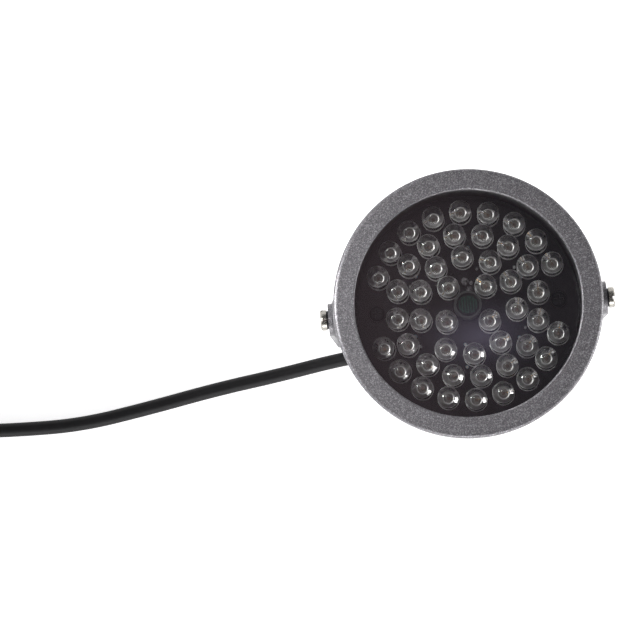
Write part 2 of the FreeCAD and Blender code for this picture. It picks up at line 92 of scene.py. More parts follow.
def linear(hex_colour):
    """The linear colour, with alpha, of an sRGB colour such as #7c7c7f."""
    channels = []
    for start in (1, 3, 5):
        value = int(hex_colour[start : start + 2], 16) / 255
        channels.append(value / 12.92 if value <= 0.04045 else ((value + 0.055) / 1.055) ** 2.4)
    return (*channels, 1.0)


# Sizes and colours


class StageSettings(bpy.types.PropertyGroup):
    camera_distance: FloatProperty(
        name="Camera distance", description="From the camera to the point it looks at",
        default=0.6, unit="LENGTH",
    )
    look_at: FloatVectorProperty(
        name="Look at", description="The point in the middle of the picture",
        default=(-0.03307, -0.00112, 0.072), subtype="TRANSLATION",
    )
    pitch: FloatProperty(
        name="Pitch", description="How far the camera stands below the head's axis",
        default=math.radians(3.720), subtype="ANGLE",
    )
    yaw: FloatProperty(
        name="Yaw", description="How far the camera stands to the left of the head's axis",
        default=math.radians(-2.346), subtype="ANGLE",
    )
    roll: FloatProperty(
        name="Roll", description="Turn of the picture", default=math.radians(4.474), subtype="ANGLE"
    )
    lens: FloatProperty(
        name="Lens", description="Focal length in millimetres", default=151.85, unit="CAMERA"
    )
    key_power: FloatProperty(
        name="Key light", description="Power of the small gridded light at the left",
        default=0.03, unit="POWER",
    )
    top_power: FloatProperty(
        name="Top light", description="Power of the gridded light over the upper left",
        default=0.0185, unit="POWER",
    )
    fill_power: FloatProperty(
        name="Fill light", description="Power of the wide light below the object",
        default=2.8, unit="POWER",
    )
    side_power: FloatProperty(
        name="Side light", description="Power of the light at the right", default=1.1, unit="POWER"
    )


class CoatingSettings(bpy.types.PropertyGroup):
    colour: FloatVectorProperty(
        name="Coat", description="Colour of the baked powder between its metal flakes",
        default=linear("#575558"), size=4, subtype="COLOR", min=0, max=1,
    )
    flake_colour: FloatVectorProperty(
        name="Flakes", description="Colour of the metal flakes in the powder",
        default=linear("#949296"), size=4, subtype="COLOR", min=0, max=1,
    )
    flake_size: FloatProperty(
        name="Flake size", description="Distance between the flakes",
        default=0.18 * MM, unit="LENGTH",
    )


class LedSettings(bpy.types.PropertyGroup):
    radius: FloatProperty(
        name="Lens radius", description="Radius of the clear body", default=2.43 * MM, unit="LENGTH"
    )
    height: FloatProperty(
        name="Height", description="From the board to the tip", default=8.6 * MM, unit="LENGTH"
    )
    cup_depth: FloatProperty(
        name="Cup depth", description="From the tip down to the cup's rim",
        default=3.9 * MM, unit="LENGTH",
    )
    cup_radius: FloatProperty(
        name="Cup radius", description="Radius of the cup's rim", default=0.46 * MM, unit="LENGTH"
    )
    lead_spacing: FloatProperty(
        name="Lead spacing", description="Between the two leads", default=2.54 * MM, unit="LENGTH"
    )
    lean: FloatProperty(
        name="Lean", description="How far a hand-soldered LED leans towards the upper left",
        default=math.radians(3.0), subtype="ANGLE",
    )
    seed: IntProperty(name="Seed", description="Picks how each LED leans", default=7)


class CordSettings(bpy.types.PropertyGroup):
    diameter: FloatProperty(
        name="Diameter", description="Diameter of the sheath", default=3.5 * MM, unit="LENGTH"
    )
    length: FloatProperty(
        name="Length", description="From the strain relief to the socket",
        default=0.61, unit="LENGTH",
    )
    coil_radius: FloatProperty(
        name="Coil radius", description="Radius of the outer turns of the coil",
        default=21.75 * MM, unit="LENGTH",
    )
    coil_points: IntProperty(
        name="Points a turn", description="Control points in each turn of the coil", default=16
    )
    colour: FloatVectorProperty(
        name="Sheath", description="Colour of the sheath", default=linear("#0b0a0c"), size=4,
        subtype="COLOR", min=0, max=1,
    )


# Shapes


def turned(profile, sides):
    """Points and faces turned about Z from (radius, height) pairs, upwards on the outside."""
    points, faces, rings = [], [], []
    for radius, height in profile:
        count = sides if radius > 0 else 1
        rings.append([len(points) + step for step in range(count)])
        for step in range(count):
            angle = 2 * math.pi * step / sides
            points.append(Vector((radius * math.cos(angle), radius * math.sin(angle), height)))
    for low, high in zip(rings, rings[1:]):
        for step in range(sides):
            after = (step + 1) % sides
            corners = [low[step % len(low)], low[after % len(low)]]
            corners += [high[after % len(high)], high[step % len(high)]]
            faces.append(tuple(dict.fromkeys(corners)))
    return points, [face for face in faces if len(face) > 2]


def prism(outline, low, high):
    """Points and faces of an outline in the XY plane, counterclockwise, raised from low to high."""
    count = len(outline)
    points = [Vector((x, y, low)) for x, y in outline] + [Vector((x, y, high)) for x, y in outline]
    faces = [tuple(reversed(range(count))), tuple(range(count, 2 * count))]
    for step in range(count):
        after = (step + 1) % count
        faces.append((step, after, count + after, count + step))
    return points, faces


def bar(x_range, y_range, z_range):
    """Points and faces of a block, from its (low, high) along each axis."""
    (left, right), (front, back) = x_range, y_range
    return prism([(left, front), (right, front), (right, back), (left, back)], *z_range)


def tube(path, radius, sides):
    """Points and faces of a round tube with closed ends along a path."""
    points, faces = [], []
    count = len(path)
    across = None
    for step in range(count):
        ahead = (path[min(step + 1, count - 1)] - path[max(step - 1, 0)]).normalized()
        if across is None:
            across = ahead.orthogonal().normalized()
        across = (across - ahead * across.dot(ahead)).normalized()
        beside = ahead.cross(across)
        for turn in range(sides):
            angle = 2 * math.pi * turn / sides
            outward = across * math.cos(angle) + beside * math.sin(angle)
            points.append(path[step] + radius * outward)
    for step in range(count - 1):
        for turn in range(sides):
            here, after = step * sides + turn, step * sides + (turn + 1) % sides
            faces.append((here, after, after + sides, here + sides))
    faces.append(tuple(reversed(range(sides))))
    faces.append(tuple(range((count - 1) * sides, count * sides)))
    return points, faces


def moved(shape, matrix):
    """The same points and faces, elsewhere."""
    points, faces = shape
    return [matrix @ point for point in points], faces


def make_piece(name, parts, body, smooth_angle=35):
    """One mesh object of several shapes, each with its material, riding on a body."""
    points, faces, finishes, materials = [], [], [], []
    for (part_points, part_faces), material in parts:
        if material not in materials:
            materials.append(material)
        start = len(points)
        points += part_points
        faces += [tuple(start + index for index in face) for face in part_faces]
        finishes += [materials.index(material)] * len(part_faces)
    mesh = bpy.data.meshes.new(name)
    mesh.from_pydata(points, [], faces)
    for material in materials:
        mesh.materials.append(material)
    mesh.polygons.foreach_set("material_index", finishes)
    mesh.shade_smooth()
    mesh.set_sharp_from_angle(angle=math.radians(smooth_angle))
    piece = bpy.data.objects.new(name, mesh)
    bpy.context.scene.collection.objects.link(piece)
    if body:
        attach(piece, body)
    return piece


def dress(node, material):
    """Gives a CAD node its material."""
    for slot in frame["nodes"][node].material_slots:
        slot.material = material


# Materials


def add_node(tree, kind, inputs=None, **settings):
    """Adds a node, with its settings, and its inputs as values or as sockets to link."""
    node = tree.nodes.new(kind)
    for name, value in settings.items():
        setattr(node, name, value)
    for name, value in (inputs or {}).items():
        if isinstance(value, bpy.types.NodeSocket):
            tree.links.new(value, node.inputs[name])
        else:
            node.inputs[name].default_value = value
    return node


def empty_material(name):
    """A material without nodes, what adds nodes to it, and the object's own coordinates."""
    material = bpy.data.materials.get(name) or bpy.data.materials.new(name)
    material.use_nodes = True
    material.node_tree.nodes.clear()
    add = partial(add_node, material.node_tree)
    return material, add, add("ShaderNodeTexCoord").outputs["Object"]


def powder_coat(settings):
    """Baked polyester powder with aluminium flakes, over steel and over die-cast aluminium.

    The cured powder is slightly uneven, and each flake lies at its own angle, so the grey sparkles
    in fine grains. The flakes are drawn about five times too coarse, so that they show.
    """
    material, add, place = empty_material("grey_flake_powder_coat")
    flakes = add("ShaderNodeTexVoronoi", {"Vector": place, "Scale": 1 / settings.flake_size})
    level = add("ShaderNodeSeparateColor", {"Color": flakes.outputs["Color"]})
    mottle = add(
        "ShaderNodeTexNoise",
        {"Vector": place, "Scale": 1.2 / settings.flake_size, "Detail": 2.0, "Roughness": 0.6},
    )
    # Few flakes lie so that they shine fully
    shine = add("ShaderNodeMath", {0: level.outputs["Red"], 1: 3.0}, operation="POWER")
    darker = add(
        "ShaderNodeMapRange",
        {
            "Value": mottle.outputs["Fac"],
            "From Min": 0.35,
            "From Max": 0.65,
            "To Min": 0.8,
            "To Max": 1.12,
        },
    )
    ground = add(
        "ShaderNodeMix",
        {0: 1.0, 6: tuple(settings.colour), 7: darker.outputs["Result"]},
        data_type="RGBA",
        blend_type="MULTIPLY",
    )
    colour = add(
        "ShaderNodeMix",
        {0: shine.outputs["Value"], 6: ground.outputs[2], 7: tuple(settings.flake_colour)},
        data_type="RGBA",
    )
    rough = add(
        "ShaderNodeMapRange", {"Value": level.outputs["Green"], "To Min": 0.34, "To Max": 0.6}
    )
    relief = add(
        "ShaderNodeBump", {"Height": level.outputs["Blue"], "Strength": 0.35, "Distance": 0.05 * MM}
    )
    surface = add(
        "ShaderNodeBsdfPrincipled",
        {
            "Base Color": colour.outputs[2],
            "Metallic": 0.6,
            "Roughness": rough.outputs["Result"],
            "Normal": relief.outputs["Normal"],
            "Coat Weight": 0.5,
            "Coat Roughness": 0.28,
        },
    )
    add("ShaderNodeOutputMaterial", {"Surface": surface.outputs["BSDF"]})
    return material


def window_glass():
    """Float glass, 2 mm thick: clear and flat, so it only mirrors a little of what faces it.

    A few specks of dust lie on it, about 0.2 mm wide and 6 mm apart.
    """
    material, add, place = empty_material("clear_float_glass")
    dust = add("ShaderNodeTexVoronoi", {"Vector": place, "Scale": 1 / (6.0 * MM)})
    speck = add(
        "ShaderNodeMapRange",
        {
            "Value": dust.outputs["Distance"],
            "From Min": 0.012,
            "From Max": 0.022,
            "To Min": 0.4,
            "To Max": 0.0,
        },
    )
    clear = add("ShaderNodeBsdfTransparent", {"Color": linear("#fbfcfb")})
    mirror = add("ShaderNodeBsdfAnisotropic", {"Color": linear("#ffffff"), "Roughness": 0.02})
    face = add("ShaderNodeFresnel", {"IOR": 1.52})
    side = add("ShaderNodeNewGeometry")
    # Light goes straight through, so the face that it meets first gives both faces' reflections
    both = add(
        "ShaderNodeMapRange", {"Value": side.outputs["Backfacing"], "To Min": 2.0, "To Max": 0.0}
    )
    share = add(
        "ShaderNodeMath",
        {0: face.outputs["Fac"], 1: both.outputs["Result"]},
        operation="MULTIPLY",
        use_clamp=True,
    )
    glass = add(
        "ShaderNodeMixShader",
        {0: share.outputs["Value"], 1: clear.outputs["BSDF"], 2: mirror.outputs["BSDF"]},
    )
    lint = add("ShaderNodeBsdfDiffuse", {"Color": linear("#8d8a88")})
    surface = add(
        "ShaderNodeMixShader",
        {0: speck.outputs["Result"], 1: glass.outputs["Shader"], 2: lint.outputs["BSDF"]},
    )
    add("ShaderNodeOutputMaterial", {"Surface": surface.outputs["Shader"]})
    return material


def clear_epoxy():
    """Cast water-clear epoxy, as of an LED's lens: glossy, and it bends light strongly.

    Slow unevenness from the casting makes its glints waver.
    """
    material, add, place = empty_material("cast_clear_epoxy")
    wave = add("ShaderNodeTexNoise", {"Vector": place, "Scale": 1 / (1.6 * MM), "Detail": 1.0})
    relief = add(
        "ShaderNodeBump", {"Height": wave.outputs["Fac"], "Strength": 0.08, "Distance": 0.1 * MM}
    )
    tint = add(
        "ShaderNodeMix",
        {0: wave.outputs["Fac"], 6: linear("#f8f5f7"), 7: linear("#fdfbfc")},
        data_type="RGBA",
    )
    surface = add(
        "ShaderNodeBsdfPrincipled",
        {
            "Base Color": tint.outputs[2],
            "Roughness": 0.02,
            "IOR": 1.53,
            "Transmission Weight": 0.985,
            "Normal": relief.outputs["Normal"],
        },
    )
    add("ShaderNodeOutputMaterial", {"Surface": surface.outputs["BSDF"]})
    return material


Finish = namedtuple(
    "Finish", "colours metallic roughness grain relief ior gloss", defaults=(1.5, 0.0)
)

# Surfaces with a fine grain. The two colours and the two values of roughness are the ends that the
# grain runs between. The grain's size and the depth of its relief are in millimetres.
FINISHES = {
    # Stamped steel strip with bright silver plating: mirror-like, with fine lines from the stamping
    "silver_plated_lead_frame": Finish(("#e2e0e1", "#f3f1f2"), 1.0, (0.2, 0.34), 0.15, 0.005),
    # The cup is coined, which leaves its plating matt, so its rim shows as a pale ring
    "coined_silver_cup": Finish(("#d2d0d2", "#dfddde"), 0.7, (0.28, 0.4), 0.1, 0.005),
    # Silver-filled die paste, cured: matt and warm grey. Drawn up the cup's wall it is painted
    # shade
    "cured_silver_paste": Finish(("#7f7875", "#948d89"), 0.2, (0.5, 0.7), 0.08, 0.01),
    # Sawn gallium arsenide crystal: dark and faintly brown, half mirror-like
    "sawn_gallium_arsenide": Finish(("#675650", "#84716a"), 0.4, (0.3, 0.45), 0.05, 0.004),
    # Drawn gold bond wire: bright warm yellow
    "drawn_gold_wire": Finish(("#e0b860", "#f0cc78"), 1.0, (0.15, 0.25), 0.05, 0.0),
    # Pale matt epoxy: real frost at the foot, and painted highlights for the rim and inner arcs
    "frosted_epoxy_edge": Finish(("#e2dfe1", "#f2f0f1"), 0.0, (0.35, 0.5), 0.2, 0.01, 1.53),
    # Under the lens the epoxy cured against the open air: uneven, in streaks of grey
    "open_cured_epoxy": Finish(("#161517", "#605d5f"), 0.0, (0.35, 0.6), 0.4, 0.02, 1.53),
    # Screen-printed black solder mask over copper on glass fibre: satin, uneven over the weave
    "black_solder_mask": Finish(("#121013", "#1c181b"), 0.0, (0.12, 0.22), 0.9, 0.01),
    # Clear hot-melt glue, set in smooth and slightly milky dabs
    "set_hot_melt_glue": Finish(("#3b383c", "#a6a2a7"), 0.0, (0.08, 0.2), 0.5, 0.06, 1.48, 0.6),
    # Dark electrode film on the ceramic disc, under clear lacquer: nearly black, with a soft gloss
    "lacquered_dark_film": Finish(("#060707", "#0b0d0c"), 0.0, (0.16, 0.24), 0.3, 0.01),
    # Sprayed cadmium sulphide under clear lacquer: dark green, with a soft gloss
    "lacquered_cadmium_sulphide": Finish(("#08231a", "#0f2f24"), 0.0, (0.16, 0.24), 0.2, 0.01),
    # Black heat-shrink tube, drawn tight: a dull soft shine
    "shrunk_black_sleeve": Finish(("#0a0a0b", "#111112"), 0.0, (0.5, 0.65), 0.3, 0.01),
    # Drawn copper leads, dipped in tin: pale grey, with a soft shine
    "tinned_copper": Finish(("#b9bbbd", "#d3d4d5"), 1.0, (0.25, 0.4), 0.1, 0.01),
    # Steel screws blackened in a hot salt bath: dark grey metal with a dull shine
    "black_oxide_steel": Finish(("#1b1b1d", "#2a2a2c"), 0.8, (0.35, 0.55), 0.2, 0.01),
    # Nickel plating over a pressed and slotted head, dulled by the air: a warm grey, soft mirror
    "dulled_nickel_plate": Finish(("#93908a", "#afaca5"), 1.0, (0.14, 0.32), 0.3, 0.02),
    # Dipped epoxy on metal-film resistors: pale blue, with a soft shine
    "dipped_resistor_coat": Finish(("#7fa3b5", "#8fb3c3"), 0.0, (0.35, 0.5), 0.3, 0.02),
    # Enamel bands, printed on the resistors and the diode: even colours with a soft shine
    "printed_brown_enamel": Finish(("#7a3b1e", "#7a3b1e"), 0.0, (0.4, 0.5), 0.1, 0.0),
    "printed_black_enamel": Finish(("#1b1b1b", "#1b1b1b"), 0.0, (0.4, 0.5), 0.1, 0.0),
    "printed_gold_enamel": Finish(("#b8923a", "#b8923a"), 0.0, (0.4, 0.5), 0.1, 0.0),
    "printed_silver_enamel": Finish(("#c0c0c0", "#d0d0d0"), 0.0, (0.4, 0.5), 0.1, 0.0),
    # Injection-moulded black nylon: a soft shine from the tool's eroded face
    "moulded_black_nylon": Finish(("#131314", "#1d1d1f"), 0.0, (0.42, 0.6), 0.25, 0.02, 1.53),
    # Compression-moulded nitrile rubber: matt, a little dusty
    "moulded_nitrile_rubber": Finish(("#161616", "#242423"), 0.0, (0.65, 0.85), 0.4, 0.03, 1.52),
    # Extruded PVC insulation of the two cores: smooth, with a soft shine
    "red_core_insulation": Finish(("#8e1410", "#a51b15"), 0.0, (0.35, 0.5), 0.5, 0.01),
    "black_core_insulation": Finish(("#18181a", "#222225"), 0.0, (0.35, 0.5), 0.5, 0.01),
    # Turned brass contacts with nickel plating: warm and pale, with a soft mirror
    "nickel_plated_brass": Finish(("#b9b4a4", "#cfcabb"), 1.0, (0.2, 0.35), 0.2, 0.01),
}


def plain_finish(name):
    """The material of that name in FINISHES."""
    finish = FINISHES[name]
    material, add, place = empty_material(name)
    noise = add(
        "ShaderNodeTexNoise", {"Vector": place, "Scale": 1 / (finish.grain * MM), "Detail": 4.0}
    )
    spread = add(
        "ShaderNodeMapRange", {"Value": noise.outputs["Fac"], "From Min": 0.35, "From Max": 0.65}
    )
    colour = add(
        "ShaderNodeMix",
        {0: spread.outputs["Result"], 6: linear(finish.colours[0]), 7: linear(finish.colours[1])},
        data_type="RGBA",
    )
    smooth, rough = finish.roughness
    roughness = add(
        "ShaderNodeMapRange", {"Value": spread.outputs["Result"], "To Min": smooth, "To Max": rough}
    )
    relief = add(
        "ShaderNodeBump",
        {"Height": noise.outputs["Fac"], "Strength": 0.5, "Distance": finish.relief * MM},
    )
    surface = add(
        "ShaderNodeBsdfPrincipled",
        {
            "Base Color": colour.outputs[2],
            "Metallic": finish.metallic,
            "Roughness": roughness.outputs["Result"],
            "IOR": finish.ior,
            "Coat Weight": finish.gloss,
            "Normal": relief.outputs["Normal"],
        },
    )
    add("ShaderNodeOutputMaterial", {"Surface": surface.outputs["BSDF"]})
    return material


def cord_sheath(settings):
    """Extruded black PVC: matt, with fine lines along it from the die and a trace of talc."""
    material, add, place = empty_material("extruded_black_pvc")
    talc = add("ShaderNodeTexNoise", {"Vector": place, "Scale": 1 / (2.2 * MM), "Detail": 3.0})
    pores = add("ShaderNodeTexNoise", {"Vector": place, "Scale": 1 / (0.25 * MM), "Detail": 2.0})
    dusty = add(
        "ShaderNodeMapRange", {"Value": talc.outputs["Fac"], "From Min": 0.4, "From Max": 0.7}
    )
    colour = add(
        "ShaderNodeMix",
        {0: dusty.outputs["Result"], 6: tuple(settings.colour), 7: linear("#131214")},
        data_type="RGBA",
    )
    rough = add(
        "ShaderNodeMapRange", {"Value": pores.outputs["Fac"], "To Min": 0.42, "To Max": 0.66}
    )
    relief = add(
        "ShaderNodeBump", {"Height": pores.outputs["Fac"], "Strength": 0.35, "Distance": 0.02 * MM}
    )
    surface = add(
        "ShaderNodeBsdfPrincipled",
        {
            "Base Color": colour.outputs[2],
            "Roughness": rough.outputs["Result"],
            "IOR": 1.53,
            "Specular IOR Level": 0.25,
            "Normal": relief.outputs["Normal"],
        },
    )
    add("ShaderNodeOutputMaterial", {"Surface": surface.outputs["BSDF"]})
    return material


def floor_paper():
    """Matt white background paper: it looks white in mirrors and glass too, with soft shadows."""
    material, add, place = empty_material("white_background_paper")
    fibre = add("ShaderNodeTexNoise", {"Vector": place, "Scale": 1 / (0.8 * MM), "Detail": 2.0})
    colour = add(
        "ShaderNodeMix",
        {0: fibre.outputs["Fac"], 6: linear("#fafafa"), 7: linear("#fdfdfd")},
        data_type="RGBA",
    )
    path = add("ShaderNodeLightPath")
    seen = add(
        "ShaderNodeMath",
        {0: path.outputs["Is Camera Ray"], 1: path.outputs["Is Glossy Ray"]},
        operation="MAXIMUM",
    )
    shown = add(
        "ShaderNodeMath",
        {0: seen.outputs["Value"], 1: path.outputs["Is Transmission Ray"]},
        operation="MAXIMUM",
    )
    glow = add("ShaderNodeMath", {0: shown.outputs["Value"], 1: FLOOR_GLOW}, operation="MULTIPLY")
    surface = add(
        "ShaderNodeBsdfPrincipled",
        {
            "Base Color": colour.outputs[2],
            "Roughness": 0.95,
            "Emission Color": linear("#ffffff"),
            "Emission Strength": glow.outputs["Value"],
        },
    )
    add("ShaderNodeOutputMaterial", {"Surface": surface.outputs["BSDF"]})
    return material


# Stage

# Strengths: of the pale belt round the horizon, of the darker room above it, of the violet haze
# that the window mirrors, and of the floor's own white
HORIZON_LIGHT = 1.8
SKY_LIGHT = 0.29
HAZE_LIGHT = 1.0
FLOOR_GLOW = 0.7

# Directions, as parts of a vector of length 1: the heights between which the belt dims, those where
# the patch overhead begins, and how far along X the belt and that patch change colour
BELT_DIMS = (0.25, 0.55)
OVERHEAD_BEGINS = (0.979, 0.991)
BELT_TURNS = (-0.6, 0.5)
OVERHEAD_TURNS = (-0.02, 0.05)

# The violet haze, measured in the same way: its middle, and how far it reaches along X and Y
HAZE_MIDDLE = (0.0178, 0.0545)
HAZE_REACH = (0.032, 0.018)

# The lights: where each stands and what it points at; spread is the angle its grid lets through
LAMPS = {
    "key": dict(size=(0.07, 0.07), place=(-0.21, 0.04, 0.2), aim=(-0.04, 0, 0.072), spread=26),
    "top": dict(size=(0.16, 0.16), place=(-0.183, 0.106, 0.52), aim=(0, 0, 0.07), spread=24),
    "fill": dict(size=(0.7, 0.25), place=(0.0, -0.6, 0.25), aim=(0, 0, 0.05)),
    "side": dict(size=(0.25, 0.12), place=(0.42, -0.12, 0.11), aim=(0, 0, 0.07)),
}


def camera_matrix(settings):
    """Where the camera stands and how it is turned."""
    pitch, yaw, roll = settings.pitch, settings.yaw, settings.roll
    back = Vector(
        (-math.sin(yaw) * math.cos(pitch), -math.sin(pitch), math.cos(yaw) * math.cos(pitch))
    )
    level = Vector((0, 1, 0)).cross(back).normalized()
    upward = back.cross(level)
    right = level * math.cos(roll) - upward * math.sin(roll)
    up = level * math.sin(roll) + upward * math.cos(roll)
    place = Vector(settings.look_at) + back * settings.camera_distance
    matrix = Matrix((right, up, back)).transposed().to_4x4()
    matrix.translation = place
    return matrix


def add_lamp(name, power, size, place, aim, spread=180):
    """A rectangular soft light; spread is the angle, in degrees, that its grid lets through."""
    light = bpy.data.lights.new(name, "AREA")
    light.shape = "RECTANGLE"
    light.size, light.size_y = size
    light.energy = power
    light.spread = math.radians(spread)
    lamp = bpy.data.objects.new(name, light)
    lamp.location = place
    lamp.rotation_euler = (Vector(aim) - Vector(place)).to_track_quat("-Z", "Y").to_euler()
    bpy.context.scene.collection.objects.link(lamp)


def set_surroundings(scene):
    """The room that lights the object and that its metal, lenses and window mirror."""
    world = bpy.data.worlds.new("surroundings")
    world.use_nodes = True
    world.node_tree.nodes.clear()
    add = partial(add_node, world.node_tree)
    place = add("ShaderNodeTexCoord").outputs["Generated"]
    direction = add("ShaderNodeSeparateXYZ", {"Vector": place})
    above, across_above, across_belt = [
        add(
            "ShaderNodeMapRange",
            {"Value": direction.outputs[axis], "From Min": start, "From Max": end},
            interpolation_type="SMOOTHSTEP",
        ).outputs["Result"]
        for axis, (start, end) in (
            ("Z", OVERHEAD_BEGINS),
            ("X", OVERHEAD_TURNS),
            ("X", BELT_TURNS),
        )
    ]
    overhead = add(
        "ShaderNodeMix",
        {0: across_above, 6: linear("#efd6e2"), 7: linear("#a69fab")},
        data_type="RGBA",
    )
    belt = add(
        "ShaderNodeMix",
        {0: across_belt, 6: linear("#e9e9eb"), 7: linear("#d4d4d6")},
        data_type="RGBA",
    )
    colour = add(
        "ShaderNodeMix", {0: above, 6: belt.outputs[2], 7: overhead.outputs[2]}, data_type="RGBA"
    )
    level = add(
        "ShaderNodeMapRange",
        {
            "Value": direction.outputs["Z"],
            "From Min": BELT_DIMS[0],
            "From Max": BELT_DIMS[1],
            "To Min": HORIZON_LIGHT,
            "To Max": SKY_LIGHT,
        },
        interpolation_type="SMOOTHSTEP",
    )
    room = add(
        "ShaderNodeBackground", {"Color": colour.outputs[2], "Strength": level.outputs["Result"]}
    )
    shrunk = add(
        "ShaderNodeMapping",
        {
            "Vector": place,
            "Scale": (1 / HAZE_REACH[0], 1 / HAZE_REACH[1], 0),
            "Location": (-HAZE_MIDDLE[0] / HAZE_REACH[0], -HAZE_MIDDLE[1] / HAZE_REACH[1], 0),
        },
    )
    patch = add(
        "ShaderNodeTexGradient",
        {"Vector": shrunk.outputs["Vector"]},
        gradient_type="QUADRATIC_SPHERE",
    )
    haze = add("ShaderNodeMath", {0: patch.outputs["Fac"], 1: HAZE_LIGHT}, operation="MULTIPLY")
    violet = add(
        "ShaderNodeBackground", {"Color": linear("#c9c0e4"), "Strength": haze.outputs["Value"]}
    )
    both = add(
        "ShaderNodeAddShader", {0: room.outputs["Background"], 1: violet.outputs["Background"]}
    )
    add("ShaderNodeOutputWorld", {"Surface": both.outputs["Shader"]})
    scene.world = world


class ILLUMINATOR_OT_stage(bpy.types.Operator):
    """Sets the camera, the lights and the floor"""

    bl_idname = "illuminator.stage"
    bl_label = "Stage"

    def execute(self, context):
        settings = context.scene.illuminator_stage
        scene = context.scene
        scene.view_settings.view_transform = "Standard"
        camera = bpy.data.objects.new("camera", bpy.data.cameras.new("camera"))
        camera.data.lens = settings.lens
        camera.data.sensor_width = 36.0
        camera.data.clip_start = 0.01
        camera.matrix_world = camera_matrix(settings)
        scene.collection.objects.link(camera)
        scene.camera = camera
        for name, lamp in LAMPS.items():
            add_lamp(name + "_light", getattr(settings, name + "_power"), **lamp)
        set_surroundings(scene)
        # The paper lies a hair under the bracket, so that the two share no plane
        paper = bar((-2, 2), (-2, 2), (-0.01, -0.0001))
        floor = make_piece("floor", [(paper, floor_paper())], None)
        return {"FINISHED"}


# Power cord

# Control points from inside the strain relief to the coil, in millimetres
LEAD_ROUTE = [
    (0.0, 0.0, 16.6),
    (0.0, 0.0, 11.2),
    (-3.0, -0.6, 6.3),
    (-8.6, -2.2, 3.3),
    (-15.2, -4.3, 2.95),
    (-24.3, -6.1, 2.9),
    (-33.4, -7.0, 1.75),
    (-47.0, -9.4, 1.75),
    (-63.0, -11.7, 1.75),
    (-80.0, -15.0, 1.75),
    (-97.0, -17.8, 1.75),
    (-113.0, -17.85, 1.75),
    (-128.0, -17.1, 1.75),
    (-142.0, -17.25, 1.75),
]
TAIL_ROUTE = [
    (-176.9, 8.5, 5.25),
    (-177.3, 14.5, 5.2),
    (-175.6, 22.0, 5.1),
    (-170.2, 30.4, 5.05),
    (-161.6, 35.0, 5.0),
    (-151.4, 35.0, 5.0),
]
COIL_CENTRE = (-155.0, 4.5)

# The coil's moves, counted in turns from where the lead runs into it
COIL_TURNS = 3.25
MOVES_IN = (0.75, 1.0)
MOVES_UP = (1.64, 1.86)
MOVES_OUT = (2.5, 2.7)


def eased(value, start, end):
    """0 before start, 1 after end, and a smooth step between them."""
    share = min(max((value - start) / (end - start), 0.0), 1.0)
    return share * share * (3 - 2 * share)


def coil_route(settings):
    """The coil's control points: two turns on the floor, one on top, and a quarter round that.

    Each turn moves in, up or out just before it comes back to where the last one began.
    """
    per_turn = settings.coil_points
    diameter = settings.diameter
    # The spline runs inside its control points, so they stand a little further out
    swell = 4 / (3 + math.cos(2 * math.pi / per_turn))
    points = []
    for step in range(round(COIL_TURNS * per_turn) + 1):
        turns = step / per_turn
        inward = eased(turns, *MOVES_IN) - eased(turns, *MOVES_OUT)
        upward = eased(turns, *MOVES_UP)
        radius = (settings.coil_radius - diameter * inward) * swell
        angle = -math.pi / 2 - 2 * math.pi * turns
        x = COIL_CENTRE[0] * MM + radius * math.cos(angle)
        y = COIL_CENTRE[1] * MM + radius * math.sin(angle)
        points.append(Vector((x, y, diameter / 2 + diameter * upward)))
    return points


def cord_path(settings):
    """The points along one smooth spline through the whole route."""
    route = [Vector(point) * MM for point in LEAD_ROUTE]
    route += coil_route(settings)
    route += [Vector(point) * MM for point in TAIL_ROUTE]
    curve = bpy.data.curves.new("cord_route", "CURVE")
    curve.dimensions = "3D"
    curve.resolution_u = 14
    spline = curve.splines.new("NURBS")
    spline.points.add(len(route) - 1)
    for point, place in zip(spline.points, route):
        point.co = (*place, 1.0)
    spline.order_u = 3
    spline.use_endpoint_u = True
    line = bpy.data.objects.new("cord_route", curve)
    bpy.context.scene.collection.objects.link(line)
    bpy.context.view_layer.update()
    graph = bpy.context.evaluated_depsgraph_get()
    mesh = bpy.data.meshes.new_from_object(line.evaluated_get(graph))
    path = [vertex.co.copy() for vertex in mesh.vertices]
    bpy.data.meshes.remove(mesh)
    bpy.data.objects.remove(line)
    bpy.data.curves.remove(curve)
    return path


class ILLUMINATOR_OT_power_cord(bpy.types.Operator):
    """Lays the power cord from the strain relief to its coil and its socket"""

    bl_idname = "illuminator.power_cord"
    bl_label = "Power cord"

    def execute(self, context):
        settings = context.scene.illuminator_cord
        path = cord_path(settings)
        sheath = tube(path, settings.diameter / 2, 20)
        cord = make_piece("cord_sheath", [(sheath, cord_sheath(settings))], None, 60)
        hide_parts("power_cord", "power_cord_coil", "power_cord_tail")
        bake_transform(cord)
        return {"FINISHED"}


# Coated metal, window and seals


class ILLUMINATOR_OT_shell(bpy.types.Operator):
    """Coats the ring, the drum and the bracket"""

    bl_idname = "illuminator.shell"
    bl_label = "Ring, drum and bracket"

    def execute(self, context):
        coat = powder_coat(context.scene.illuminator_coating)
        for node in ("front_ring", "main_housing", "bracket"):
            dress(node, coat)
        return {"FINISHED"}


class ILLUMINATOR_OT_window(bpy.types.Operator):
    """Glazes the window and dresses its seals"""

    bl_idname = "illuminator.window"
    bl_label = "Window and seals"

    def execute(self, context):
        dress("window_glass", window_glass())
        rubber = plain_finish("moulded_nitrile_rubber")
        for node in ("window_gasket", "housing_oring", "strain_relief"):
            dress(node, rubber)
        return {"FINISHED"}


# LEDs

# Each ring of LEDs: its radius in millimetres, then its arcs as (middle angle, angle covered)
LED_RINGS = {
    "leds_inner_ring": (5.99, [(88.0, 89.0), (267.0, 108.0)]),
    "leds_second_ring": (11.06, [(92.0, 201.0), (273.0, 68.4)]),
    "leds_third_ring": (16.13, [(175.0, 360.0)]),
    "leds_outer_ring": (21.20, [(90.0, 136.0), (270.5, 136.0)]),
}

# The least gap between two lenses of a ring, in millimetres
LED_SIDE_GAP = 1.34
